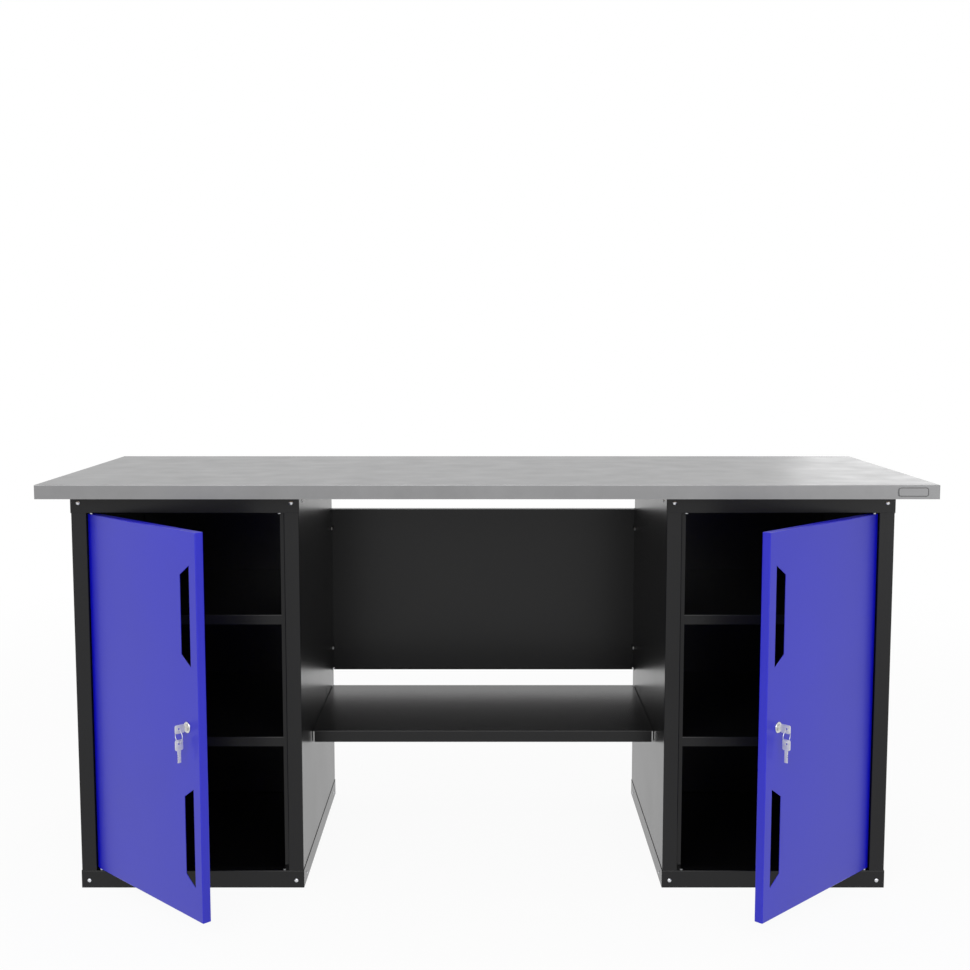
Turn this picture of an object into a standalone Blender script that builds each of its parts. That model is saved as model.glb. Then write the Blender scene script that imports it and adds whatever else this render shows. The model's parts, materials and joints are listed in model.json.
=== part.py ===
"""Double pedestal workbench: a steel-clad worktop on two sheet-steel cabinets.

Metres, +Z up, +X to the right as one faces the bench, -Y towards the person who works at it.
The origin is on the floor, midway across the worktop, and midway between the corners of the
open doors and the worktop's rear edge.
"""

from math import cos, pi, radians, sin

import bmesh
import bpy
from mathutils import Matrix, Vector

# The bench as a whole
WORKTOP_WIDTH = 1.800
WORKTOP_DEPTH = 0.690
WORKTOP_THICKNESS = 0.0285
BENCH_HEIGHT = 0.862
WORKTOP_OVERHANG = 0.0549
PEDESTAL_WIDTH = 0.4688
PEDESTAL_DEPTH = 0.608
PEDESTAL_SETBACK = 0.0803
PEDESTAL_SHIFT = -0.0084

# Between pieces that touch
CLEARANCE = 0.0003

# Worktop
COVER_SHEET = 0.0010
COVER_BEND = 0.0011

# Pedestal frames and panels
FRAME_SHEET = 0.0008
FRAME_HEIGHT = 0.0375
FRAME_FLANGE = 0.0229
FRAME_BEND = 0.0012
FLOOR_RISE = 0.0060
FOOT_FLANGE = 0.0150
PANEL_SHEET = 0.0010
PANEL_BEND = 0.0015
STILE_WIDTH = 0.0312
STOP_LIP = 0.0100
STOP_PLAY = 0.0005
REAR_FLANGE = 0.0150
BACK_PANEL_DEPTH = 0.0070

# Shelves inside the pedestals
SHELF_HEIGHTS = {"lower": 0.3188, "upper": 0.5792}
SHELF_SETBACK = 0.0238
SHELF_LIP = 0.0202
SHELF_SHEET = 0.0010
SHELF_BEND = 0.0012
SLOT_HEIGHT = 0.0170
SLOT_WIDTH = 0.0070
SLOT_DROP = 0.0020
SLOT_FRONT = 0.1625
SLOT_SPACING = 0.2800
TAB_HEIGHT = 0.0120

# Doors
DOOR_DEPTH = 0.0180
DOOR_SHEET = 0.0010
DOOR_BEND = 0.0015
DOOR_RETURN = 0.0120
DOOR_TOP_GAP = 0.0022
DOOR_BOTTOM_GAP = 0.0036
DOOR_LOCK_GAP = 0.0035
DOOR_OPEN = radians(45.5)
HINGE_INSET = 0.0095
HINGE_TO_EDGE = 0.0075
HINGE_TO_FACE = 0.0045
CUTOUT_FROM_EDGE = 0.0230
CUTOUT_WIDTH = 0.0323
CUTOUT_LENGTH = 0.1950
CUTOUT_SLOPE = 0.0210
CUTOUT_FROM_MIDDLE = 0.2150

# Hinge pins and blanking rivets
PIN_RADIUS = 0.0025
PIN_COLLAR_RADIUS = 0.0035
PIN_REACH = 0.0070
PIN_TAIL = 0.0020
RIVET_COLLAR = 0.0018

# Lock
LOCK_FROM_EDGE = 0.0400
LOCK_FLANGE_RADIUS = 0.0108
LOCK_FLANGE = 0.0022
LOCK_CHAMFER = 0.0010
LOCK_BODY_RADIUS = 0.0093
LOCK_BODY_LENGTH = 0.0195
PLUG_RADIUS = 0.0060
PLUG_PROUD = 0.0004
SPIGOT_RADIUS = 0.0035
SPIGOT_HEAD_RADIUS = 0.0050
SPIGOT_HEAD = 0.0008
NUT_RADIUS = 0.0135
NUT_HEIGHT = 0.0040
CAM_LENGTH = 0.0390
CAM_WIDTH = 0.0140
CAM_HEEL = 0.0070
CAM_CORNER = 0.0060
CAM_THICKNESS = 0.0018

# Keys and their ring
KEY_THICKNESS = 0.0020
BOW_LENGTH = 0.0210
BOW_HEIGHT = 0.0165
BOW_CORNER = 0.0035
BOW_STANDOFF = 0.0059
BOW_HOLE_RADIUS = 0.0025
BOW_HOLE_FROM_END = 0.0080
BLADE_LENGTH = 0.0240
BLADE_HEIGHT = 0.0065
BIT_START = 0.0085
BIT_SPACING = 0.0035
BIT_WIDTH = 0.0016
BIT_DEPTHS = (0.0011, 0.0018, 0.0008, 0.0015)
RING_RADIUS = 0.0125
RING_WIRE_RADIUS = 0.0007

# Pieces between the pedestals
MODESTY_BOTTOM = 0.3283
MODESTY_HEIGHT = 0.4045
MODESTY_INSET = 0.0040
MODESTY_SHEET = 0.0010
MODESTY_SIDE_FLANGE = 0.0300
MODESTY_EDGE_FLANGE = 0.0200
MODESTY_RELIEF = 0.0025
CROSS_SHELF_TOP = 0.2892
CROSS_SHELF_SETBACK = 0.2540
CROSS_SHELF_DEPTH = 0.4070
CROSS_SHELF_LIP = 0.0254
CROSS_SHELF_SHEET = 0.0012
CROSS_SHELF_NOTCH = 0.0035
CROSS_SHELF_SIDE_GAP = 0.0008

# Screws
SCREW_RADIUS = 0.0020
SCREW_HEAD_RADIUS = 0.0044
SCREW_HEAD = 0.0024
FRONT_SCREW_LENGTH = 0.0060
FRONT_SCREW_INSET = 0.0165
MODESTY_SCREW_LENGTH = 0.0055
MODESTY_SCREW_FROM_FACE = 0.0200
MODESTY_SCREW_FROM_TOP = 0.0490
MODESTY_SCREW_FROM_BOTTOM = 0.0545
TOP_SCREW_LENGTH = 0.0180
TOP_SCREW_FROM_ENDS = 0.1200

# A cutter runs this far past the metal that it cuts
SPILL = 0.0100

# Edges steeper than the first are folds, and those flatter than the second are shaded smooth
FOLD_ANGLE = radians(60)
SMOOTH_ANGLE = radians(35)

# Sides of a turned piece: a screw or pin, and a lock
FEW_SIDES = 12
SIDES = 16
MANY_SIDES = 24

# Worked out from the sizes above
KNEE_WIDTH = WORKTOP_WIDTH - 2 * (WORKTOP_OVERHANG + PEDESTAL_WIDTH)
FRAME_PROUD = FRAME_SHEET + CLEARANCE
PEDESTAL_TOP = BENCH_HEIGHT - WORKTOP_THICKNESS - CLEARANCE
OPENING_TOP = PEDESTAL_TOP - FRAME_HEIGHT
OPENING_WIDTH = PEDESTAL_WIDTH - 2 * FRAME_PROUD - 2 * STILE_WIDTH
DOOR_WIDTH = OPENING_WIDTH - (HINGE_INSET - HINGE_TO_EDGE) - DOOR_LOCK_GAP
DOOR_BOTTOM = FRAME_HEIGHT + DOOR_BOTTOM_GAP
DOOR_TOP = OPENING_TOP - DOOR_TOP_GAP
DOOR_MIDDLE = (DOOR_BOTTOM + DOOR_TOP) / 2
HINGE_SETBACK = PEDESTAL_SETBACK + FRAME_PROUD + HINGE_TO_FACE
DOOR_SWING = (DOOR_WIDTH - HINGE_TO_EDGE) * sin(DOOR_OPEN) + HINGE_TO_FACE * cos(DOOR_OPEN)
DOOR_REACH = DOOR_SWING - HINGE_SETBACK
FRONT_EDGE = (DOOR_REACH - WORKTOP_DEPTH) / 2
FRAME_FRONT = FRONT_EDGE + PEDESTAL_SETBACK
FRAME_REAR = FRAME_FRONT + PEDESTAL_DEPTH
PANEL_FRONT = FRAME_FRONT + FRAME_PROUD
PANEL_REAR = FRAME_REAR - FRAME_PROUD
PANEL_BOTTOM = FLOOR_RISE + CLEARANCE
PANEL_TOP = PEDESTAL_TOP - FRAME_SHEET - CLEARANCE
STOP_Y = PANEL_FRONT + DOOR_DEPTH + STOP_PLAY
BACK_FACE = PANEL_REAR - PANEL_SHEET - CLEARANCE - BACK_PANEL_DEPTH
HINGE_Y = FRONT_EDGE + HINGE_SETBACK
INNER_EDGE = FRAME_PROUD
OUTER_EDGE = PEDESTAL_WIDTH - FRAME_PROUD
SHELF_EDGE = INNER_EDGE + PANEL_SHEET + CLEARANCE
PIN_ALONG = OUTER_EDGE - STILE_WIDTH - HINGE_INSET
RIVET_ALONG = INNER_EDGE + STILE_WIDTH + HINGE_INSET
LOCK_ALONG = DOOR_WIDTH - HINGE_TO_EDGE - LOCK_FROM_EDGE
SLOT_PLACES = (PANEL_FRONT + SLOT_FRONT, PANEL_FRONT + SLOT_FRONT + SLOT_SPACING)
MODESTY_FACE = FRAME_REAR - MODESTY_INSET
MODESTY_TOP = MODESTY_BOTTOM + MODESTY_HEIGHT
MODESTY_SCREW_Y = MODESTY_FACE - MODESTY_SCREW_FROM_FACE
RING_DROP = BOW_HOLE_RADIUS - RING_WIRE_RADIUS - CLEARANCE
EYE_FROM_SHOULDER = BOW_LENGTH - BOW_HOLE_FROM_END

LEFT, RIGHT = -1, 1
SIDE_NAMES = {LEFT: "left", RIGHT: "right"}
INWARD = (0, 1, 0)
UP = (0, 0, 1)

# Colour, roughness and metallic value of each finish
FINISHES = {
    "steel_cover": ((0.42, 0.42, 0.43), 0.35, 1.0),
    "board": ((0.36, 0.25, 0.15), 0.80, 0.0),
    "black_paint": ((0.020, 0.020, 0.022), 0.35, 0.0),
    "blue_paint": ((0.040, 0.040, 0.500), 0.35, 0.0),
    "zinc": ((0.62, 0.63, 0.65), 0.30, 1.0),
    "chrome": ((0.75, 0.76, 0.78), 0.15, 1.0),
    "key_steel": ((0.60, 0.60, 0.58), 0.25, 1.0),
}


def clear_scene():
    """Remove what the file holds, and make the two collections."""
    for obj in list(bpy.data.objects):
        bpy.data.objects.remove(obj, do_unlink=True)
    collections = []
    for name in ("workbench", "cutters"):
        collection = bpy.data.collections.new(name)
        bpy.context.scene.collection.children.link(collection)
        collections.append(collection)
    return collections


def make_materials():
    """One Principled material for each finish."""
    made = {}
    for name, (colour, roughness, metallic) in FINISHES.items():
        material = bpy.data.materials.new(name)
        material.use_nodes = True
        shader = material.node_tree.nodes["Principled BSDF"]
        shader.inputs["Base Color"].default_value = (*colour, 1.0)
        shader.inputs["Roughness"].default_value = roughness
        shader.inputs["Metallic"].default_value = metallic
        material.diffuse_color = (*colour, 1.0)
        made[name] = material
    return made


PARTS, CUTTERS = clear_scene()
MATERIALS = make_materials()


def new_object(name, mesh, material=None, parent=None):
    """A part with its material, or a hidden cutter where no material is given."""
    obj = bpy.data.objects.new(name, mesh)
    if material:
        mesh.materials.append(MATERIALS[material])
        PARTS.objects.link(obj)
    else:
        CUTTERS.objects.link(obj)
        obj.hide_render = True
        obj.display_type = "WIRE"
    obj.parent = parent
    return obj


def to_mesh(work, name):
    mesh = bpy.data.meshes.new(name)
    work.to_mesh(mesh)
    work.free()
    return mesh


def cube(low, high):
    """A box between two opposite corners, given in any order."""
    low, high = Vector(low), Vector(high)
    size = Vector(abs(b - a) for a, b in zip(low, high))
    work = bmesh.new()
    bmesh.ops.create_cube(work, size=1.0)
    bmesh.ops.scale(work, vec=size, verts=work.verts)
    bmesh.ops.translate(work, vec=(low + high) / 2, verts=work.verts)
    work.normal_update()
    return work


def box(name, low, high, material=None, parent=None):
    return new_object(name, to_mesh(cube(low, high), name), material, parent)


def cylinder(name, radius, start, end, segments=SIDES, material=None, parent=None):
    """A round bar between two points."""
    start, end = Vector(start), Vector(end)
    length = (end - start).length
    work = bmesh.new()
    bmesh.ops.create_cone(
        work, cap_ends=True, segments=segments, radius1=radius, radius2=radius, depth=length
    )
    turn = (end - start).to_track_quat("Z", "Y").to_matrix().to_4x4()
    bmesh.ops.transform(
        work, matrix=Matrix.Translation((start + end) / 2) @ turn, verts=work.verts
    )
    return new_object(name, to_mesh(work, name), material, parent)


def combine(obj, other, operation):
    modifier = obj.modifiers.new(f"{operation.lower()} {other.name}", "BOOLEAN")
    modifier.operation = operation
    modifier.solver = "EXACT"
    modifier.object = other


def cut(obj, *cutters):
    for cutter in cutters:
        combine(obj, cutter, "DIFFERENCE")


def join(obj, *additions):
    for addition in additions:
        combine(obj, addition, "UNION")


def solidify(obj, thickness, offset=-1.0):
    modifier = obj.modifiers.new("sheet", "SOLIDIFY")
    modifier.thickness = thickness
    modifier.offset = offset
    modifier.use_even_offset = True
    return obj


def round_edges(work, edges, radius, segments=2):
    bmesh.ops.bevel(
        work,
        geom=edges,
        offset=radius,
        offset_type="OFFSET",
        segments=segments,
        profile=0.5,
        affect="EDGES",
        clamp_overlap=True,
    )


def edge_middle(edge):
    return (edge.verts[0].co + edge.verts[1].co) / 2


def runs_along(edge, axis):
    return abs((edge.verts[1].co - edge.verts[0].co).normalized()[axis]) > 0.9


def plate(name, size, radius, material, parent=None, shift=(0, 0, 0)):
    """A flat plate about its origin, or shifted from it. Its corners are rounded."""
    half, shift = Vector(size) / 2, Vector(shift)
    thinnest = min(range(3), key=lambda axis: size[axis])
    work = cube(shift - half, shift + half)
    corners = [edge for edge in work.edges if runs_along(edge, thinnest)]
    round_edges(work, corners, radius, segments=4)
    return new_object(name, to_mesh(work, name), material, parent)


def rounded_path(points, radius, steps=3):
    """A plan path whose corners, all square, are arcs of one radius."""
    points = [Vector(point) for point in points]
    path = [points[0]]
    for before, corner, after in zip(points, points[1:], points[2:]):
        back = (before - corner).normalized()
        ahead = (after - corner).normalized()
        centre = corner + (back + ahead) * radius
        for step in range(steps + 1):
            turn = step * pi / 2 / steps
            path.append(centre - ahead * radius * cos(turn) - back * radius * sin(turn))
    path.append(points[-1])
    return path


def folded_sheet(name, points, bottom, top, metal_side):
    """A sheet with upright bends, from the plan path of its shown face. metal_side is 1 where
    the metal lies to the right of the path, and -1 where it lies to the left."""
    work = bmesh.new()
    verts = [work.verts.new((x, y, bottom)) for x, y in rounded_path(points, PANEL_BEND)]
    for pair in zip(verts, verts[1:]):
        work.edges.new(pair)
    obj = new_object(name, to_mesh(work, name), "black_paint")
    rise = obj.modifiers.new("height", "SCREW")
    rise.angle = 0.0
    rise.screw_offset = top - bottom
    rise.steps = 1
    rise.render_steps = 1
    return solidify(obj, PANEL_SHEET, metal_side)


def pan(name, low, high, open_side, thickness, bend, material, parent=None, rim=0.0):
    """A folded pan: a box of sheet, open on one side, with rounded bends. rim is the width of
    the returns around the open side."""
    work = cube(low, high)
    facing = Vector(open_side)
    opened = max(work.faces, key=lambda face: face.normal.dot(facing))
    if rim:
        bmesh.ops.inset_individual(work, faces=[opened], thickness=rim)
    bmesh.ops.delete(work, geom=[opened], context="FACES")
    folds = [
        edge
        for edge in work.edges
        if len(edge.link_faces) == 2 and edge.calc_face_angle() > FOLD_ANGLE
    ]
    round_edges(work, folds, bend)
    mesh = to_mesh(work, name)
    mesh.shade_smooth()
    mesh.set_sharp_from_angle(angle=SMOOTH_ANGLE)
    return solidify(new_object(name, mesh, material, parent), thickness)


def turned(name, profile, material, parent=None, place=(0, 0, 0), axis=UP, segments=SIDES):
    """A turned piece. The profile holds (radius, height) pairs, from its top to its bottom."""
    work = bmesh.new()
    verts = [work.verts.new((radius, 0.0, height)) for radius, height in profile]
    for pair in zip(verts, verts[1:]):
        work.edges.new(pair)
    obj = new_object(name, to_mesh(work, name), material, parent)
    modifier = obj.modifiers.new("turn", "SCREW")
    modifier.steps = segments
    modifier.render_steps = segments
    modifier.use_merge_vertices = True
    modifier.merge_threshold = 0.00002
    obj.location = place
    obj.rotation_euler = Vector(axis).to_track_quat("Z", "Y").to_euler()
    return obj


def screw(name, place, axis, length):
    """A domed screw. place is the middle of its head's seat, and axis points out of the head."""
    steps = 4
    dome = [
        (SCREW_HEAD_RADIUS * sin(k * pi / 2 / steps), SCREW_HEAD * cos(k * pi / 2 / steps))
        for k in range(steps + 1)
    ]
    profile = dome + [(SCREW_RADIUS, 0.0), (SCREW_RADIUS, -length), (0.0, -length)]
    turned(name, profile, "zinc", place=place, axis=axis, segments=FEW_SIDES)


def hole(name, radius, place, axis, depth, parent=None):
    """A cutter for a round hole about a place, wider than what goes through it."""
    reach = Vector(axis) * depth / 2
    place = Vector(place)
    return cylinder(name, radius + CLEARANCE, place - reach, place + reach, parent=parent)


def empty(name, parent=None, place=(0, 0, 0), turn=0.0):
    """A joint's axis, or a frame that pieces are placed in."""
    marker = bpy.data.objects.new(name, None)
    PARTS.objects.link(marker)
    marker.parent = parent
    marker.location = place
    marker.rotation_euler = (0, 0, turn)
    return marker


def across(side, distance):
    """The X of a place in a pedestal, by its distance from the knee space's edge."""
    return PEDESTAL_SHIFT + side * (KNEE_WIDTH / 2 + distance)


def top_screw_places(side):
    """Where screws rise from each pedestal into the worktop, by name."""
    middle = across(side, PEDESTAL_WIDTH / 2)
    return {
        "front": (middle, FRAME_FRONT + TOP_SCREW_FROM_ENDS),
        "rear": (middle, FRAME_REAR - TOP_SCREW_FROM_ENDS),
    }


def front_screw_places(side):
    """Where screws hold the frames' front rims, by name."""
    places = {}
    for end, distance in (
        ("inner", FRONT_SCREW_INSET),
        ("outer", PEDESTAL_WIDTH - FRONT_SCREW_INSET),
    ):
        x = across(side, distance)
        places[f"top_{end}"] = (x, FRAME_FRONT, PEDESTAL_TOP - FRONT_SCREW_INSET)
        places[f"base_{end}"] = (x, FRAME_FRONT, FRONT_SCREW_INSET)
    return places


def modesty_screw_heights():
    """The heights of the screws in the modesty panel's side flanges, by name."""
    return {
        "upper": MODESTY_TOP - MODESTY_SCREW_FROM_TOP,
        "lower": MODESTY_BOTTOM + MODESTY_SCREW_FROM_BOTTOM,
    }


def build_worktop():
    half = WORKTOP_WIDTH / 2
    rear = FRONT_EDGE + WORKTOP_DEPTH
    underside = BENCH_HEIGHT - WORKTOP_THICKNESS
    pan(
        "worktop_cover",
        (-half, FRONT_EDGE, underside),
        (half, rear, BENCH_HEIGHT),
        (0, 0, -1),
        COVER_SHEET,
        COVER_BEND,
        "steel_cover",
    )
    gap = COVER_SHEET + CLEARANCE
    core = box(
        "worktop_core",
        (-half + gap, FRONT_EDGE + gap, underside),
        (half - gap, rear - gap, BENCH_HEIGHT - gap),
        "board",
    )
    for side in (LEFT, RIGHT):
        for end, (x, y) in top_screw_places(side).items():
            name = f"{SIDE_NAMES[side]} {end} pilot hole"
            cut(core, hole(name, SCREW_RADIUS, (x, y, underside), UP, 2 * TOP_SCREW_LENGTH))


def build_frame(side, name, bottom, flange_at, pocket):
    """A rim of sheet with rounded folds and a front flange that carries the door's pins. It is
    built about its own middle, so one shape fits both pedestals. flange_at is the flange's outer
    face, either the rim's top or its bottom, and pocket is the hollow's bottom and top."""
    top = bottom + FRAME_HEIGHT
    half = PEDESTAL_WIDTH / 2
    work = cube((-half, FRAME_FRONT, bottom), (half, FRAME_REAR, top))
    folds = []
    for edge in work.edges:
        place = edge_middle(edge)
        at_flange = abs(place.z - flange_at) < FRAME_HEIGHT / 4
        at_front = abs(place.y - FRAME_FRONT) < PEDESTAL_DEPTH / 4
        if runs_along(edge, 2) or not at_flange or at_front:
            folds.append(edge)
    round_edges(work, folds, FRAME_BEND)
    frame = new_object(name, to_mesh(work, name), "black_paint")
    frame.location.x = across(side, half)
    if flange_at == top:
        screw_at = bottom + FRONT_SCREW_INSET
        mouth = (top - FRAME_SHEET - CLEARANCE, top + SPILL)
    else:
        screw_at = top - FRONT_SCREW_INSET
        mouth = (bottom - SPILL, bottom + FRAME_SHEET + CLEARANCE)
    reach = half - FRAME_SHEET
    front, rear = FRAME_FRONT + FRAME_SHEET, FRAME_REAR - FRAME_SHEET
    flange_edge = FRAME_FRONT + FRAME_FLANGE
    cut(
        frame,
        box(f"{name} pocket", (-reach, front, pocket[0]), (reach, rear, pocket[1]), parent=frame),
        box(f"{name} mouth", (-reach, flange_edge, mouth[0]), (reach, rear, mouth[1]), parent=frame),
    )
    ends = (("right", 1), ("left", -1))
    stile_edge = half - FRAME_PROUD - STILE_WIDTH
    for end, way in ends:
        corner = (way * reach, front, mouth[0])
        beyond = (way * (stile_edge - CLEARANCE), flange_edge + CLEARANCE, mouth[1])
        cut(frame, box(f"{name} {end} stile notch", corner, beyond, parent=frame))
    for end, way in ends:
        place = (way * (stile_edge - HINGE_INSET), HINGE_Y, flange_at)
        cut(frame, hole(f"{name} {end} pin hole", PIN_RADIUS, place, UP, SPILL, frame))
    for end, way in ends:
        place = (way * (half - FRONT_SCREW_INSET), FRAME_FRONT, screw_at)
        depth = 4 * FRAME_SHEET
        cut(frame, hole(f"{name} {end} rim hole", SCREW_RADIUS, place, INWARD, depth, frame))
    return frame


def build_frames(side):
    """The base frame has a web for the cabinet's floor. The top frame is open, and a plate that
    lies on the side panels inside it closes the cabinet."""
    prefix = SIDE_NAMES[side]
    pocket = (FLOOR_RISE, FRAME_HEIGHT - FRAME_SHEET)
    base = build_frame(side, f"{prefix}_base_frame", 0.0, FRAME_HEIGHT, pocket)
    for name, inset, low, high in (
        ("space under floor", FRAME_SHEET, FRAME_SHEET, FLOOR_RISE - FRAME_SHEET),
        ("inside foot flange", FOOT_FLANGE, -SPILL, FRAME_SHEET + CLEARANCE),
    ):
        reach = PEDESTAL_WIDTH / 2 - inset
        corner = (-reach, FRAME_FRONT + inset, low)
        beyond = (reach, FRAME_REAR - inset, high)
        cut(base, box(f"{prefix} {name}", corner, beyond, parent=base))
    pocket = (OPENING_TOP + FRAME_SHEET, PEDESTAL_TOP + SPILL)
    build_frame(side, f"{prefix}_top_frame", OPENING_TOP, OPENING_TOP, pocket)
    underside = PEDESTAL_TOP - FRAME_SHEET
    top_plate = box(
        f"{prefix}_top_plate",
        (across(side, INNER_EDGE), PANEL_FRONT, underside),
        (across(side, OUTER_EDGE), PANEL_REAR, PEDESTAL_TOP),
        "black_paint",
    )
    for end, place in front_screw_places(side).items():
        seat = Vector(place) - CLEARANCE * Vector(INWARD)
        screw(f"{prefix}_{end}_screw", seat, -Vector(INWARD), FRONT_SCREW_LENGTH)
    for end, (x, y) in top_screw_places(side).items():
        place = (x, y, underside)
        cut(top_plate, hole(f"{prefix} {end} plate hole", SCREW_RADIUS, place, UP, SPILL))
        seat = (x, y, underside - CLEARANCE)
        screw(f"{prefix}_worktop_{end}_screw", seat, -Vector(UP), TOP_SCREW_LENGTH)


def build_side_panels(side):
    prefix = SIDE_NAMES[side]
    lip_root = INNER_EDGE + STILE_WIDTH
    hinge_root = OUTER_EDGE - STILE_WIDTH
    inner_path = [
        (across(side, lip_root + STOP_LIP), STOP_Y),
        (across(side, lip_root), STOP_Y),
        (across(side, lip_root), PANEL_FRONT),
        (across(side, INNER_EDGE), PANEL_FRONT),
        (across(side, INNER_EDGE), PANEL_REAR),
        (across(side, INNER_EDGE + REAR_FLANGE), PANEL_REAR),
    ]
    outer_path = [
        (across(side, hinge_root), STOP_Y),
        (across(side, hinge_root), PANEL_FRONT),
        (across(side, OUTER_EDGE), PANEL_FRONT),
        (across(side, OUTER_EDGE), PANEL_REAR),
        (across(side, OUTER_EDGE - REAR_FLANGE), PANEL_REAR),
    ]
    inner = folded_sheet(
        f"{prefix}_inner_side_panel", inner_path, PANEL_BOTTOM, PANEL_TOP, side
    )
    outer = folded_sheet(
        f"{prefix}_outer_side_panel", outer_path, PANEL_BOTTOM, PANEL_TOP, -side
    )
    for end, low, high in (
        ("lower", -SPILL, FRAME_HEIGHT + CLEARANCE),
        ("upper", OPENING_TOP - CLEARANCE, BENCH_HEIGHT),
    ):
        corner = (across(side, lip_root), STOP_Y - PANEL_BEND, low)
        beyond = (across(side, lip_root + STOP_LIP + SPILL), STOP_Y + SPILL, high)
        cut(inner, box(f"{prefix} {end} lip end", corner, beyond))
    for end, place in front_screw_places(side).items():
        panel = inner if end.endswith("inner") else outer
        cut(panel, hole(f"{prefix} {end} stile hole", SCREW_RADIUS, place, INWARD, SPILL))
    for level, height in SHELF_HEIGHTS.items():
        for number, y in enumerate(SLOT_PLACES):
            for panel, along in ((inner, INNER_EDGE), (outer, OUTER_EDGE)):
                x = across(side, along)
                slot = box(
                    f"{panel.name} {level} slot {number}",
                    (x - SPILL, y - SLOT_WIDTH / 2, height - SLOT_DROP - SLOT_HEIGHT),
                    (x + SPILL, y + SLOT_WIDTH / 2, height - SLOT_DROP),
                )
                cut(panel, slot)
    for level, height in modesty_screw_heights().items():
        place = (across(side, INNER_EDGE), MODESTY_SCREW_Y, height)
        cut(inner, hole(f"{prefix} {level} panel hole", SCREW_RADIUS, place, (1, 0, 0), SPILL))


def build_back_panel(side):
    pan(
        f"{SIDE_NAMES[side]}_back_panel",
        (across(side, SHELF_EDGE), BACK_FACE, PANEL_BOTTOM),
        (across(side, PEDESTAL_WIDTH - SHELF_EDGE), BACK_FACE + BACK_PANEL_DEPTH, PANEL_TOP),
        INWARD,
        PANEL_SHEET,
        PANEL_BEND,
        "black_paint",
    )


def build_shelves(side):
    prefix = SIDE_NAMES[side]
    for level, height in SHELF_HEIGHTS.items():
        shelf = pan(
            f"{prefix}_{level}_shelf",
            (across(side, SHELF_EDGE), PANEL_FRONT + SHELF_SETBACK, height - SHELF_LIP),
            (across(side, PEDESTAL_WIDTH - SHELF_EDGE), BACK_FACE - CLEARANCE, height),
            (0, 0, -1),
            SHELF_SHEET,
            SHELF_BEND,
            "black_paint",
        )
        tab_top = height - SLOT_DROP - CLEARANCE
        root = SHELF_EDGE + SHELF_SHEET / 2
        for number, y in enumerate(SLOT_PLACES):
            for end, start, finish in (
                ("inner", INNER_EDGE, root),
                ("outer", PEDESTAL_WIDTH - root, OUTER_EDGE),
            ):
                tab = box(
                    f"{prefix} {level} {end} tab {number}",
                    (across(side, start), y - SHELF_SHEET / 2, tab_top - TAB_HEIGHT),
                    (across(side, finish), y + SHELF_SHEET / 2, tab_top),
                )
                join(shelf, tab)


def build_pins(side):
    """The pins that the door turns on, and the rivets that blank the holes opposite."""
    prefix = SIDE_NAMES[side]
    tail = FRAME_SHEET + PIN_TAIL
    for level, flange, way, gap in (
        ("upper", OPENING_TOP, -1, DOOR_TOP_GAP),
        ("lower", FRAME_HEIGHT, 1, DOOR_BOTTOM_GAP),
    ):
        shank = [
            (PIN_COLLAR_RADIUS, CLEARANCE),
            (PIN_RADIUS, CLEARANCE),
            (PIN_RADIUS, -tail),
            (0.0, -tail),
        ]
        pin = [
            (0.0, gap + PIN_REACH),
            (PIN_RADIUS, gap + PIN_REACH),
            (PIN_RADIUS, gap - CLEARANCE),
            (PIN_COLLAR_RADIUS, gap - CLEARANCE),
        ]
        rivet = [(0.0, RIVET_COLLAR), (PIN_COLLAR_RADIUS, RIVET_COLLAR)]
        for kind, profile, along in (
            ("hinge_pin", pin + shank, PIN_ALONG),
            ("blanking_rivet", rivet + shank, RIVET_ALONG),
        ):
            place = (across(side, along), HINGE_Y, flange)
            turned(f"{prefix}_{level}_{kind}", profile, "zinc", place=place, axis=(0, 0, way))


def build_door(side):
    """The door in its hinge's frame: it lies along -side X, with its depth along +Y."""
    prefix = SIDE_NAMES[side]
    x = across(side, PIN_ALONG)
    hinge = empty(f"{prefix} hinge axis", place=(x, HINGE_Y, 0), turn=side * DOOR_OPEN)
    ahead = -side
    free_edge = DOOR_WIDTH - HINGE_TO_EDGE
    door = pan(
        f"{prefix}_door",
        (-ahead * HINGE_TO_EDGE, -HINGE_TO_FACE, DOOR_BOTTOM),
        (ahead * free_edge, DOOR_DEPTH - HINGE_TO_FACE, DOOR_TOP),
        INWARD,
        DOOR_SHEET,
        DOOR_BEND,
        "blue_paint",
        parent=hinge,
        rim=DOOR_RETURN,
    )
    near = free_edge - CUTOUT_FROM_EDGE
    far = near - CUTOUT_WIDTH
    for level, direction in (("upper", 1), ("lower", -1)):
        middle = DOOR_MIDDLE + direction * CUTOUT_FROM_MIDDLE
        work = cube(
            (ahead * near, -HINGE_TO_FACE - DOOR_SHEET, -CUTOUT_LENGTH / 2),
            (ahead * far, -HINGE_TO_FACE + 2 * DOOR_SHEET, CUTOUT_LENGTH / 2),
        )
        for vert in work.verts:
            if abs(vert.co.x - ahead * far) < CUTOUT_WIDTH / 2:
                vert.co.z -= CUTOUT_SLOPE if vert.co.z > 0 else -CUTOUT_SLOPE
        name = f"{prefix} {level} cut-out"
        shape = new_object(name, to_mesh(work, name), parent=hinge)
        shape.location = (0, 0, middle)
        cut(door, shape)
    for level, height in (("upper", DOOR_TOP), ("lower", DOOR_BOTTOM)):
        name = f"{prefix} {level} door pin hole"
        cut(door, hole(name, PIN_RADIUS, (0, 0, height), UP, SPILL, hinge))
    place = (ahead * LOCK_ALONG, -HINGE_TO_FACE, DOOR_MIDDLE)
    depth = 4 * DOOR_SHEET
    cut(door, hole(f"{prefix} lock hole", LOCK_BODY_RADIUS, place, INWARD, depth, hinge))
    lock_frame = empty(f"{prefix} lock axis", parent=hinge, place=place)
    build_lock(side, lock_frame)
    build_keys(side, lock_frame)


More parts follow.
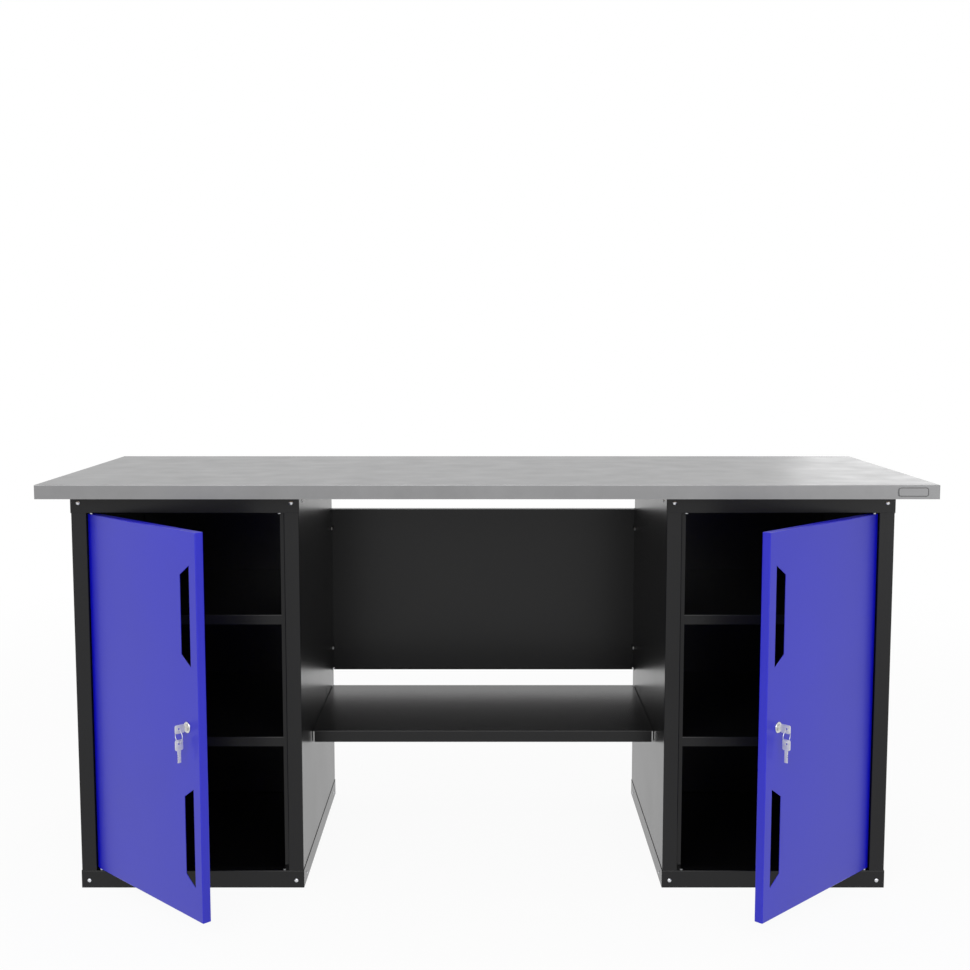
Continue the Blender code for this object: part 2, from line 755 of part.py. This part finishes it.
def build_lock(side, frame):
    """A cam lock in a frame whose origin is on the door's face, +Y into the door."""
    prefix = SIDE_NAMES[side]
    bore = PLUG_RADIUS + CLEARANCE
    body = [
        (bore, LOCK_BODY_LENGTH),
        (LOCK_BODY_RADIUS, LOCK_BODY_LENGTH),
        (LOCK_BODY_RADIUS, -CLEARANCE),
        (LOCK_FLANGE_RADIUS, -CLEARANCE),
        (LOCK_FLANGE_RADIUS, LOCK_CHAMFER - LOCK_FLANGE),
        (LOCK_FLANGE_RADIUS - LOCK_CHAMFER, -LOCK_FLANGE),
        (bore, -LOCK_FLANGE),
        (bore, LOCK_BODY_LENGTH),
    ]
    turned(f"{prefix}_lock_body", body, "chrome", frame, axis=INWARD, segments=MANY_SIDES)
    cam_near = LOCK_BODY_LENGTH + CLEARANCE
    cam_far = cam_near + CAM_THICKNESS
    head_near = cam_far + CLEARANCE
    plug_front = -LOCK_FLANGE - PLUG_PROUD
    plug_profile = [
        (0.0, head_near + SPIGOT_HEAD),
        (SPIGOT_HEAD_RADIUS, head_near + SPIGOT_HEAD),
        (SPIGOT_HEAD_RADIUS, head_near),
        (SPIGOT_RADIUS, head_near),
        (SPIGOT_RADIUS, LOCK_BODY_LENGTH),
        (PLUG_RADIUS, LOCK_BODY_LENGTH),
        (PLUG_RADIUS, plug_front),
        (0.0, plug_front),
    ]
    plug = turned(
        f"{prefix}_lock_plug", plug_profile, "chrome", frame, axis=INWARD, segments=MANY_SIDES
    )
    half_width = KEY_THICKNESS / 2 + CLEARANCE
    half_height = BLADE_HEIGHT / 2 + CLEARANCE
    slot = box(
        f"{prefix} key slot",
        (-half_width, plug_front - SPILL, -half_height),
        (half_width, BLADE_LENGTH - BOW_STANDOFF + CLEARANCE, half_height),
        parent=frame,
    )
    cut(plug, slot)
    nut_near = DOOR_SHEET + CLEARANCE
    nut_ends = ((0, nut_near, 0), (0, nut_near + NUT_HEIGHT, 0))
    nut = cylinder(f"{prefix}_lock_nut", NUT_RADIUS, *nut_ends, 6, "zinc", frame)
    nut_depth = 4 * (nut_near + NUT_HEIGHT)
    cut(nut, hole(f"{prefix} nut bore", LOCK_BODY_RADIUS, (0, 0, 0), INWARD, nut_depth, frame))
    cam = plate(
        f"{prefix}_lock_cam",
        (CAM_WIDTH, CAM_THICKNESS, CAM_LENGTH + CAM_HEEL),
        CAM_CORNER,
        "zinc",
        frame,
        shift=(0, 0, (CAM_HEEL - CAM_LENGTH) / 2),
    )
    cam.location = (0, (cam_near + cam_far) / 2, 0)
    cam_bore = hole(f"{prefix} cam bore", SPIGOT_RADIUS, (0, cam_near, 0), INWARD, SPILL, frame)
    cut(cam, cam_bore)


def key_shape(name, parent):
    """A key in the YZ plane: its bow's shoulder is at y = 0, and its bow lies towards -Y."""
    size = (KEY_THICKNESS, BOW_LENGTH, BOW_HEIGHT)
    key = plate(name, size, BOW_CORNER, "key_steel", parent, shift=(0, -BOW_LENGTH / 2, 0))
    half = KEY_THICKNESS / 2
    blade = box(
        f"{name} blade",
        (-half, -BOW_CORNER, -BLADE_HEIGHT / 2),
        (half, BLADE_LENGTH, BLADE_HEIGHT / 2),
        parent=key,
    )
    join(key, blade)
    for number, depth in enumerate(BIT_DEPTHS):
        along = BIT_START + number * BIT_SPACING
        bit = box(
            f"{name} bit {number}",
            (-KEY_THICKNESS, along, -BLADE_HEIGHT / 2 - SPILL),
            (KEY_THICKNESS, along + BIT_WIDTH, -BLADE_HEIGHT / 2 + depth),
            parent=key,
        )
        cut(key, bit)
    eye_ends = [(face * KEY_THICKNESS, -EYE_FROM_SHOULDER, 0) for face in (-1, 1)]
    cut(key, cylinder(f"{name} eye", BOW_HOLE_RADIUS, *eye_ends, parent=key))
    return key


def build_keys(side, frame):
    """The key in the lock, the ring through its eye, and the second key on the ring."""
    prefix = SIDE_NAMES[side]
    key = key_shape(f"{prefix}_key", frame)
    key.location = (0, -BOW_STANDOFF, 0)
    pivot = empty(f"{prefix} ring pivot", frame, (0, -BOW_STANDOFF - EYE_FROM_SHOULDER, -RING_DROP))
    bpy.ops.mesh.primitive_torus_add(
        major_radius=RING_RADIUS, minor_radius=RING_WIRE_RADIUS, major_segments=28, minor_segments=8
    )
    made = bpy.context.active_object
    mesh = made.data
    bpy.data.objects.remove(made)
    mesh.transform(Matrix.Rotation(pi / 2, 4, "X"))
    mesh.shade_smooth()
    ring = new_object(f"{prefix}_key_ring", mesh, "zinc", pivot)
    ring.location = (0, 0, -RING_RADIUS)
    lower = empty(f"{prefix} spare key pivot", pivot, (0, 0, -2 * RING_RADIUS))
    spare = key_shape(f"{prefix}_spare_key", lower)
    spare.rotation_euler = (-pi / 2, 0, 0)
    spare.location = (0, 0, -RING_DROP - EYE_FROM_SHOULDER)


def build_modesty_panel():
    left = across(LEFT, INNER_EDGE) + CLEARANCE
    right = across(RIGHT, INNER_EDGE) - CLEARANCE
    rear = MODESTY_FACE + MODESTY_SHEET
    corners = ((left, MODESTY_FACE, MODESTY_BOTTOM), (right, rear, MODESTY_TOP))
    panel = box("modesty_panel", *corners, "black_paint")
    lap = MODESTY_FACE + MODESTY_SHEET / 2
    for end, x, inward in (("left", left, 1), ("right", right, -1)):
        corner = (x, MODESTY_FACE - MODESTY_SIDE_FLANGE, MODESTY_BOTTOM)
        join(panel, box(f"{end} flange", corner, (x + inward * MODESTY_SHEET, lap, MODESTY_TOP)))
    for end, z, inward in (("top", MODESTY_TOP, -1), ("bottom", MODESTY_BOTTOM, 1)):
        corner = (left + MODESTY_RELIEF, MODESTY_FACE - MODESTY_EDGE_FLANGE, z)
        beyond = (right - MODESTY_RELIEF, lap, z + inward * MODESTY_SHEET)
        join(panel, box(f"{end} flange", corner, beyond))
    for side in (LEFT, RIGHT):
        seat = across(side, INNER_EDGE) - side * (CLEARANCE + MODESTY_SHEET)
        for level, height in modesty_screw_heights().items():
            name = f"modesty_{SIDE_NAMES[side]}_{level}_screw"
            place = (seat, MODESTY_SCREW_Y, height)
            cut(panel, hole(f"{name} hole", SCREW_RADIUS, place, (1, 0, 0), 4 * MODESTY_SHEET))
            head = (seat - side * CLEARANCE, MODESTY_SCREW_Y, height)
            screw(name, head, (-side, 0, 0), MODESTY_SCREW_LENGTH)


def build_cross_shelf():
    front = FRONT_EDGE + CROSS_SHELF_SETBACK
    bottom = CROSS_SHELF_TOP - CROSS_SHELF_LIP
    left = across(LEFT, INNER_EDGE) + CROSS_SHELF_SIDE_GAP
    right = across(RIGHT, INNER_EDGE) - CROSS_SHELF_SIDE_GAP
    shelf = pan(
        "cross_shelf",
        (left, front, bottom),
        (right, front + CROSS_SHELF_DEPTH, CROSS_SHELF_TOP),
        (0, 0, -1),
        CROSS_SHELF_SHEET,
        SHELF_BEND,
        "black_paint",
    )
    for name, end, inward in (("left", left, 1), ("right", right, -1)):
        corner = (end - inward * SPILL, front - SPILL, bottom - SPILL)
        inner_corner = (
            end + inward * CROSS_SHELF_NOTCH,
            front + CROSS_SHELF_SHEET + CLEARANCE,
            CROSS_SHELF_TOP - CROSS_SHELF_SHEET,
        )
        cut(shelf, box(f"cross shelf {name} notch", corner, inner_corner))


def build_pedestal(side):
    build_frames(side)
    build_side_panels(side)
    build_back_panel(side)
    build_shelves(side)
    build_pins(side)
    build_door(side)


def main():
    build_worktop()
    build_modesty_panel()
    build_cross_shelf()
    for side in (LEFT, RIGHT):
        build_pedestal(side)


main()
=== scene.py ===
import json
from math import cos, pi, radians, sin

import bmesh
import bpy
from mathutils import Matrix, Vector


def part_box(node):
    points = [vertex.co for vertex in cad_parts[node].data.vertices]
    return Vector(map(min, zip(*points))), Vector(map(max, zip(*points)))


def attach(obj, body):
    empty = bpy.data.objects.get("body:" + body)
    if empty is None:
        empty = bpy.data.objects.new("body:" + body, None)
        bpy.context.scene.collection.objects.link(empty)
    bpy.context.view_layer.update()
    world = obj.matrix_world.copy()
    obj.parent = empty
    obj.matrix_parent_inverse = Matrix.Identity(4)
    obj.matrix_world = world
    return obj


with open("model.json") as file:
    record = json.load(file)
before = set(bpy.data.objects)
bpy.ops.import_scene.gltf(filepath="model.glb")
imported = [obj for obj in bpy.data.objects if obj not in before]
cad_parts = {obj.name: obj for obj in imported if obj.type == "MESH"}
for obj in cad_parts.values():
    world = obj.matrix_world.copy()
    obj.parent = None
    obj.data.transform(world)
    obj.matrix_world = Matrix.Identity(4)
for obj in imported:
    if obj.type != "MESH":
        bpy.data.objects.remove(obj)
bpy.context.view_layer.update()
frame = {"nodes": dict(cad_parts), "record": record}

# Camera, measured from the worktop's front edge
CAMERA_X = -0.0041
CAMERA_BEHIND_EDGE = 2.7148
CAMERA_HEIGHT = 1.1453
CAMERA_PITCH = radians(5.958)
CAMERA_LENS = 51.047
CAMERA_SENSOR = 36.0

# Small screws on the frames' side faces
SIDE_SCREW_RADIUS = 0.0034
SIDE_SCREW_DOME = 0.0018
SIDE_SCREW_SINK = 0.0002
SIDE_SCREW_FROM_END = 0.0455
SIDE_SCREW_FROM_FLOOR = 0.0165
SIDE_SCREW_FROM_TOP = 0.0176
SIDE_SCREW_SEGMENTS = 20
SIDE_SCREW_RINGS = 12

# Bare plate on the worktop's front edge, with a groove around its field that carries painted shade
PLATE_WIDTH = 0.0612
PLATE_HEIGHT = 0.0188
PLATE_THICKNESS = 0.0012
PLATE_CORNER = 0.0054
PLATE_CORNER_STEPS = 6
PLATE_BEVEL = 0.0002
PLATE_RIM = 0.0006
PLATE_GROOVE = 0.0013
PLATE_GROOVE_DEPTH = 0.0008
PLATE_FROM_END = 0.0530
PLATE_FROM_TOP = 0.0141

# Shelf slots in the side panels, with painted shade: matt black strips on both sides of the shelf's
# tab stand in for the shade inside the slots
SLOT_HEIGHT = 0.0170
SLOT_WIDTH = 0.0070
SLOT_DROP = 0.0020
SLOT_FRONT = 0.1625
SLOT_SPACING = 0.2800
SLOT_DEPTH = 0.0010
SLOT_GAP = 0.0001
# Thickness of the painted shade strips at the bottom of the slots
SLOT_SHADE_THICKNESS = 0.0002
SHELF_TAB = 0.0010

# Base colours
GALVANISED_GREY = (0.232, 0.232, 0.235)
BOARD_BROWN = (0.42, 0.29, 0.17)
PAINT_BLACK = (0.0040, 0.0040, 0.0045)
# Painted shade: a near black for the strips in the slots, where there is only shade
SLOT_PAINTED_SHADE_BLACK = (0.0010, 0.0010, 0.0010)
PAINT_BLUE = (0.0040, 0.0040, 0.5000)
ZINC_GREY = (0.62, 0.63, 0.65)
CHROME_GREY = (0.66, 0.66, 0.64)
# Painted shade: a dark grey for the plate's groove, where shade falls
GROOVE_PAINTED_SHADE_GREY = (0.09, 0.09, 0.09)
NICKEL_GREY = (0.74, 0.74, 0.72)
FLOOR_GREY = (0.86, 0.86, 0.86)

# Heights of the finest relief in each finish
POWDER_PEEL = 0.0000005
ROLLING_LINES = 0.000004
PLATING_SCRATCHES = 0.000001
CHIP_RELIEF = 0.0002

# How far the gloss of powder coat strays from its mean
POWDER_UNEVENNESS = 0.008

# Studio: the floor keeps the bench's shadow up to one distance and is plain white from another
WORLD_STRENGTH = 0.38
FLOOR_SIZE = 60.0
FLOOR_SHADOW_REACH = 1.6
FLOOR_WHITE_FROM = 4.0
FLOOR_WHITENESS = 0.94
FLOOR_ROUGHNESS = 0.9

# Place, target, size and power of each lamp
SOFTBOXES = {
    "front_softbox": ((-0.5, -4.2, 2.9), (0.0, 0.0, 0.5), (6.0, 2.8), 155.0),
    "right_front_softbox": ((3.1, -4.4, 1.2), (0.8, 0.0, 0.5), (1.6, 2.0), 20.0),
    "right_rear_softbox": ((2.80, 3.4, 1.5), (0.7, 0.0, 0.9), (2.8, 1.8), 16.5),
    "top_softbox": ((0.0, 0.4, 4.0), (0.0, 0.0, 0.8), (3.0, 3.0), 40.0),
}

FRONT_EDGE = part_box("worktop_cover")[0].y


def add_node(tree, kind, inputs=None, **settings):
    """A node of a tree, with values for some of its sockets and settings."""
    node = tree.nodes.new(kind)
    for name, value in settings.items():
        setattr(node, name, value)
    for name, value in (inputs or {}).items():
        node.inputs[name].default_value = value
    return node


class Shader:
    """A Principled material that is built up from the piece's own coordinates, in metres."""

    def __init__(self, name, colour, roughness, metallic=0.0, specular=0.5):
        self.material = bpy.data.materials.new(name)
        self.material.use_nodes = True
        self.material.diffuse_color = (*colour, 1.0)
        self.tree = self.material.node_tree
        self.principled = self.tree.nodes["Principled BSDF"]
        self.principled.inputs["Base Color"].default_value = (*colour, 1.0)
        self.principled.inputs["Roughness"].default_value = roughness
        self.principled.inputs["Metallic"].default_value = metallic
        self.principled.inputs["Specular IOR Level"].default_value = specular
        self.colour = colour
        self.place = self.add("ShaderNodeTexCoord").outputs["Object"]

    def add(self, kind, inputs=None, **settings):
        return add_node(self.tree, kind, inputs, **settings)

    def link(self, start, end):
        self.tree.links.new(start, end)

    def stretched(self, scale):
        """The coordinates, stretched along some axes."""
        mapping = self.add("ShaderNodeMapping", {"Scale": scale})
        self.link(self.place, mapping.inputs["Vector"])
        return mapping.outputs["Vector"]

    def noise(self, scale, detail=3.0, rough=0.5, vector=None):
        settings = {"Scale": scale, "Detail": detail, "Roughness": rough}
        node = self.add("ShaderNodeTexNoise", settings)
        self.link(vector or self.place, node.inputs["Vector"])
        return node.outputs["Fac"]

    def flakes(self, scale, vector=None):
        """Cells of random value, like the spangle of zinc."""
        node = self.add("ShaderNodeTexVoronoi", {"Scale": scale})
        self.link(vector or self.place, node.inputs["Vector"])
        grey = self.add("ShaderNodeRGBToBW")
        self.link(node.outputs["Color"], grey.inputs[0])
        return grey.outputs[0]

    def spread(self, value, low, high, source_low=0.3, source_high=0.7):
        """A value between two sources mapped onto a range."""
        node = self.add("ShaderNodeMapRange", {
            "From Min": source_low,
            "From Max": source_high,
            "To Min": low,
            "To Max": high,
        })
        self.link(value, node.inputs["Value"])
        return node.outputs["Result"]

    def product(self, first, second):
        node = self.add("ShaderNodeMath", operation="MULTIPLY")
        self.link(first, node.inputs[0])
        self.link(second, node.inputs[1])
        return node.outputs[0]

    def tint(self, factor):
        """Multiplies the base colour by a grey value."""
        node = self.add("ShaderNodeVectorMath", {0: self.colour}, operation="SCALE")
        self.link(factor, node.inputs["Scale"])
        self.link(node.outputs["Vector"], self.principled.inputs["Base Color"])

    def vary_roughness(self, value, low, high):
        self.link(self.spread(value, low, high), self.principled.inputs["Roughness"])

    def bump(self, height, distance, strength=1.0):
        node = self.add("ShaderNodeBump", {"Strength": strength, "Distance": distance})
        self.link(height, node.inputs["Height"])
        self.link(node.outputs["Normal"], self.principled.inputs["Normal"])


def powder_coat(name, colour, roughness, specular):
    """Powder coat: a fine orange peel, a slightly uneven gloss and colour."""
    shader = Shader(name, colour, roughness, specular=specular)
    clouds = shader.noise(scale=7.0, detail=2.0)
    shader.vary_roughness(clouds, roughness - POWDER_UNEVENNESS, roughness + POWDER_UNEVENNESS)
    patches = shader.noise(scale=3.0, detail=2.0)
    shader.tint(shader.spread(patches, low=0.95, high=1.05))
    shader.bump(shader.noise(scale=420.0, detail=0.0), distance=POWDER_PEEL)
    return shader.material


def galvanised_sheet():
    """Zinc-coated sheet: soft clouds, faint spangle and fine lines along its length."""
    shader = Shader("galvanised_sheet", GALVANISED_GREY, roughness=0.36, metallic=1.0)
    clouds = shader.spread(shader.noise(scale=5.5, detail=5.0, rough=0.6), low=0.95, high=1.05)
    spangle = shader.spread(
        shader.flakes(scale=70.0), low=0.985, high=1.015, source_low=0.0, source_high=1.0
    )
    shader.tint(shader.product(clouds, spangle))
    lines = shader.noise(scale=260.0, detail=2.0, vector=shader.stretched((0.03, 1.0, 1.0)))
    shader.vary_roughness(shader.noise(scale=14.0, detail=5.0), low=0.33, high=0.40)
    shader.bump(lines, distance=ROLLING_LINES, strength=0.6)
    return shader.material


def plated(name, colour, roughness, patches, metallic=1.0):
    """Plated metal with small uneven patches and fine scratches."""
    shader = Shader(name, colour, roughness, metallic=metallic)
    shader.tint(shader.spread(shader.noise(scale=patches), low=0.92, high=1.06))
    dull, bright = roughness * 1.2, roughness * 0.9
    shader.vary_roughness(shader.noise(scale=patches * 2.0), low=bright, high=dull)
    scratches = shader.noise(scale=2500.0, detail=1.0, vector=shader.stretched((0.2, 1.0, 1.0)))
    shader.bump(scratches, distance=PLATING_SCRATCHES)
    return shader.material


def pressed_board():
    """Chips of wood in a pressed board."""
    shader = Shader("pressed_board", BOARD_BROWN, roughness=0.8)
    chips = shader.flakes(scale=420.0, vector=shader.stretched((0.35, 1.0, 2.0)))
    chip_tones = shader.spread(chips, low=0.7, high=1.25, source_low=0.0, source_high=1.0)
    clouds = shader.spread(shader.noise(scale=30.0), low=0.85, high=1.1)
    shader.tint(shader.product(chip_tones, clouds))
    shader.bump(chips, distance=CHIP_RELIEF, strength=0.5)
    return shader.material


MATERIALS = {
    "steel_cover": galvanised_sheet(),
    "board": pressed_board(),
    "black_paint": powder_coat("black_powder_coat", PAINT_BLACK, roughness=0.265, specular=0.325),
    # Painted shade: a matt near black that stands in for the shade inside the slots
    "slot_painted_shade": powder_coat("slot_painted_shade", SLOT_PAINTED_SHADE_BLACK, roughness=0.90, specular=0.05),
    "blue_paint": powder_coat("blue_powder_coat", PAINT_BLUE, roughness=0.29, specular=0.58),
    "zinc": plated("zinc_plate", ZINC_GREY, roughness=0.30, patches=220.0),
    "chrome": plated("chrome_plate", CHROME_GREY, roughness=0.16, patches=160.0),
    # Painted shade: a dark plating for the groove in the plate
    "groove_painted_shade": plated("painted_groove_shade", GROOVE_PAINTED_SHADE_GREY, roughness=0.50, patches=220.0),
    "key_steel": plated("key_nickel", NICKEL_GREY, roughness=0.36, patches=260.0, metallic=0.7),
}


def dress_nodes():
    """Gives each solid of the model the finish of its slot."""
    for part in frame["record"]["subparts"]:
        data = frame["nodes"][part["node"]].data
        data.materials.clear()
        data.materials.append(MATERIALS[part["material_slot"]])


def new_object(name, work, *finishes):
    """An object made from a bmesh, which is freed."""
    mesh = bpy.data.meshes.new(name)
    work.to_mesh(mesh)
    work.free()
    for finish in finishes:
        mesh.materials.append(MATERIALS[finish])
    piece = bpy.data.objects.new(name, mesh)
    bpy.context.scene.collection.objects.link(piece)
    return piece


def add_side_screw(name, place, axis):
    """A low domed head that stands on a face at a place. Its flat side, which is open, is hidden."""
    work = bmesh.new()
    bmesh.ops.create_uvsphere(
        work,
        u_segments=SIDE_SCREW_SEGMENTS,
        v_segments=SIDE_SCREW_RINGS,
        radius=SIDE_SCREW_RADIUS,
    )
    below = [vert for vert in work.verts if vert.co.z < -SIDE_SCREW_SINK / 2]
    bmesh.ops.delete(work, geom=below, context="VERTS")
    flattening = (1.0, 1.0, SIDE_SCREW_DOME / SIDE_SCREW_RADIUS)
    bmesh.ops.scale(work, vec=flattening, verts=work.verts)
    head = new_object(name, work, "zinc")
    head.data.shade_smooth()
    head.location = Vector(place) - Vector(axis) * SIDE_SCREW_SINK
    head.rotation_mode = "QUATERNION"
    head.rotation_quaternion = Vector(axis).to_track_quat("Z", "Y")
    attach(head, "bench")


def add_side_screws():
    """Screws in the frames' side faces, near the front and the rear."""
    inset = SIDE_SCREW_FROM_END
    for side in ("left", "right"):
        for level in ("base", "top"):
            low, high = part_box(f"{side}_{level}_frame")
            if level == "base":
                height = low.z + SIDE_SCREW_FROM_FLOOR
            else:
                height = high.z - SIDE_SCREW_FROM_TOP
            for end, y in (("front", low.y + inset), ("rear", high.y - inset)):
                for face, x, way in (("low", low.x, -1), ("high", high.x, 1)):
                    name = f"{side}_{level}_{end}_{face}_side_screw"
                    add_side_screw(name, (x, y, height), (way, 0, 0))


def add_slot_painted_shades():
    """Painted shade: matt black strips at the bottom of the slots stand in for the shade inside
    them, one piece for each side panel.
    """
    free = (SLOT_WIDTH - SHELF_TAB) / 2
    aside = (SHELF_TAB + free) / 2
    size = (SLOT_SHADE_THICKNESS, free - 2 * SLOT_GAP, SLOT_HEIGHT - 2 * SLOT_GAP)
    for side, inner_way in (("left", 1), ("right", -1)):
        for place, way in (("inner", inner_way), ("outer", -inner_way)):
            low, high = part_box(f"{side}_{place}_side_panel")
            face = high.x if way > 0 else low.x
            x = face - way * (SLOT_DEPTH - SLOT_SHADE_THICKNESS / 2)
            work = bmesh.new()
            for level in ("lower", "upper"):
                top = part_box(f"{side}_{level}_shelf")[1].z - SLOT_DROP
                for slot_y in (low.y + SLOT_FRONT, low.y + SLOT_FRONT + SLOT_SPACING):
                    for y in (slot_y - aside, slot_y + aside):
                        strip = bmesh.ops.create_cube(work, size=1.0)["verts"]
                        bmesh.ops.scale(work, vec=size, verts=strip)
                        bmesh.ops.translate(work, vec=(x, y, top - SLOT_HEIGHT / 2), verts=strip)
            painted_shade_strips = new_object(f"{side}_{place}_slot_painted_shades", work, "slot_painted_shade")
            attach(painted_shade_strips, "bench")


def plate_outline(inset):
    """Points of the plate's rounded outline, moved inwards by an inset."""
    corner = PLATE_CORNER - inset
    across, up = PLATE_WIDTH / 2 - PLATE_CORNER, PLATE_HEIGHT / 2 - PLATE_CORNER
    points = []
    for turn, (way_x, way_z) in enumerate(((1, 1), (-1, 1), (-1, -1), (1, -1))):
        for step in range(PLATE_CORNER_STEPS + 1):
            angle = (turn + step / PLATE_CORNER_STEPS) * pi / 2
            points.append((way_x * across + corner * cos(angle), way_z * up + corner * sin(angle)))
    return points


def add_front_plate():
    """A bare plate of the cover's sheet. Its grooved outline is darker than its field: the groove's
    floor and outer wall take a darker plating as painted shade.
    """
    groove_end = PLATE_RIM + PLATE_GROOVE
    groove_floor = PLATE_THICKNESS - PLATE_GROOVE_DEPTH
    levels = (
        (0.0, 0.0),
        (0.0, PLATE_THICKNESS - PLATE_BEVEL),
        (PLATE_BEVEL, PLATE_THICKNESS),
        (PLATE_RIM, PLATE_THICKNESS),
        (PLATE_RIM, groove_floor),
        (groove_end, groove_floor),
        (groove_end, PLATE_THICKNESS),
    )
    work = bmesh.new()
    rings = [
        [work.verts.new((x, -depth, z)) for x, z in plate_outline(inset)] for inset, depth in levels
    ]
    for ring, after, (_, depth_after) in zip(rings, rings[1:], levels[1:]):
        for place, vert in enumerate(ring):
            following = (place + 1) % len(ring)
            face = work.faces.new((vert, ring[following], after[following], after[place]))
            # The groove's floor and outer wall take the painted shade
            face.material_index = int(depth_after == groove_floor)
    work.faces.new(rings[0])
    work.faces.new(rings[-1])
    bmesh.ops.recalc_face_normals(work, faces=work.faces)
    front_plate = new_object("front_plate", work, "steel_cover", "groove_painted_shade")
    cover_end, cover_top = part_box("worktop_cover")[1].xz
    front_plate.location = (cover_end - PLATE_FROM_END, FRONT_EDGE, cover_top - PLATE_FROM_TOP)
    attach(front_plate, "bench")


def seen_directly(tree):
    """1 for rays from the camera, and for rays mirrored or passed on by glossy and clear pieces."""
    path = add_node(tree, "ShaderNodeLightPath")
    total = path.outputs["Is Camera Ray"]
    for name in ("Is Glossy Ray", "Is Transmission Ray"):
        most = add_node(tree, "ShaderNodeMath", operation="MAXIMUM")
        tree.links.new(total, most.inputs[0])
        tree.links.new(path.outputs[name], most.inputs[1])
        total = most.outputs[0]
    return total


def make_world():
    """A white world that lights the bench less than it shows."""
    world = bpy.data.worlds.new("studio")
    world.use_nodes = True
    tree = world.node_tree
    background = tree.nodes["Background"]
    background.inputs["Color"].default_value = (1.0, 1.0, 1.0, 1.0)
    strength = add_node(tree, "ShaderNodeMapRange", {"To Min": WORLD_STRENGTH, "To Max": 1.0})
    tree.links.new(seen_directly(tree), strength.inputs["Value"])
    tree.links.new(strength.outputs["Result"], background.inputs["Strength"])
    bpy.context.scene.world = world


def make_floor():
    """A white floor that keeps a faint shadow near the bench, and none far from it."""
    bpy.ops.mesh.primitive_plane_add(size=FLOOR_SIZE)
    floor = bpy.context.active_object
    floor.name = "floor"
    material = bpy.data.materials.new("white_floor")
    material.use_nodes = True
    tree = material.node_tree
    principled = tree.nodes["Principled BSDF"]
    principled.inputs["Base Color"].default_value = (*FLOOR_GREY, 1.0)
    principled.inputs["Roughness"].default_value = FLOOR_ROUGHNESS
    principled.inputs["Specular IOR Level"].default_value = 0.0
    white = add_node(tree, "ShaderNodeEmission")
    place = add_node(tree, "ShaderNodeTexCoord")
    distance = add_node(tree, "ShaderNodeVectorMath", operation="LENGTH")
    tree.links.new(place.outputs["Object"], distance.inputs[0])
    reach = {
        "From Min": FLOOR_SHADOW_REACH,
        "From Max": FLOOR_WHITE_FROM,
        "To Min": FLOOR_WHITENESS,
    }
    fade = add_node(tree, "ShaderNodeMapRange", reach, interpolation_type="SMOOTHSTEP")
    tree.links.new(distance.outputs["Value"], fade.inputs["Value"])
    share = add_node(tree, "ShaderNodeMath", operation="MULTIPLY")
    tree.links.new(seen_directly(tree), share.inputs[0])
    tree.links.new(fade.outputs["Result"], share.inputs[1])
    mix = add_node(tree, "ShaderNodeMixShader")
    tree.links.new(share.outputs[0], mix.inputs["Fac"])
    tree.links.new(principled.outputs["BSDF"], mix.inputs[1])
    tree.links.new(white.outputs["Emission"], mix.inputs[2])
    tree.links.new(mix.outputs["Shader"], tree.nodes["Material Output"].inputs["Surface"])
    floor.data.materials.append(material)


def make_lights():
    for name, (place, target, size, power) in SOFTBOXES.items():
        lamp = bpy.data.lights.new(name, "AREA")
        lamp.shape = "RECTANGLE"
        lamp.size, lamp.size_y = size
        lamp.energy = power
        light = bpy.data.objects.new(name, lamp)
        bpy.context.scene.collection.objects.link(light)
        light.location = place
        light.visible_camera = False
        direction = Vector(target) - Vector(place)
        light.rotation_euler = direction.to_track_quat("-Z", "Y").to_euler()


def make_camera():
    data = bpy.data.cameras.new("camera")
    data.sensor_width = CAMERA_SENSOR
    data.lens = CAMERA_LENS
    camera = bpy.data.objects.new("camera", data)
    bpy.context.scene.collection.objects.link(camera)
    camera.location = (CAMERA_X, FRONT_EDGE - CAMERA_BEHIND_EDGE, CAMERA_HEIGHT)
    camera.rotation_euler = (pi / 2 - CAMERA_PITCH, 0.0, 0.0)
    bpy.context.scene.camera = camera


make_camera()
dress_nodes()
add_side_screws()
# Painted shade in the shelf slots
add_slot_painted_shades()
add_front_plate()
make_world()
make_floor()
make_lights()
bpy.context.scene.view_settings.view_transform = "Standard"
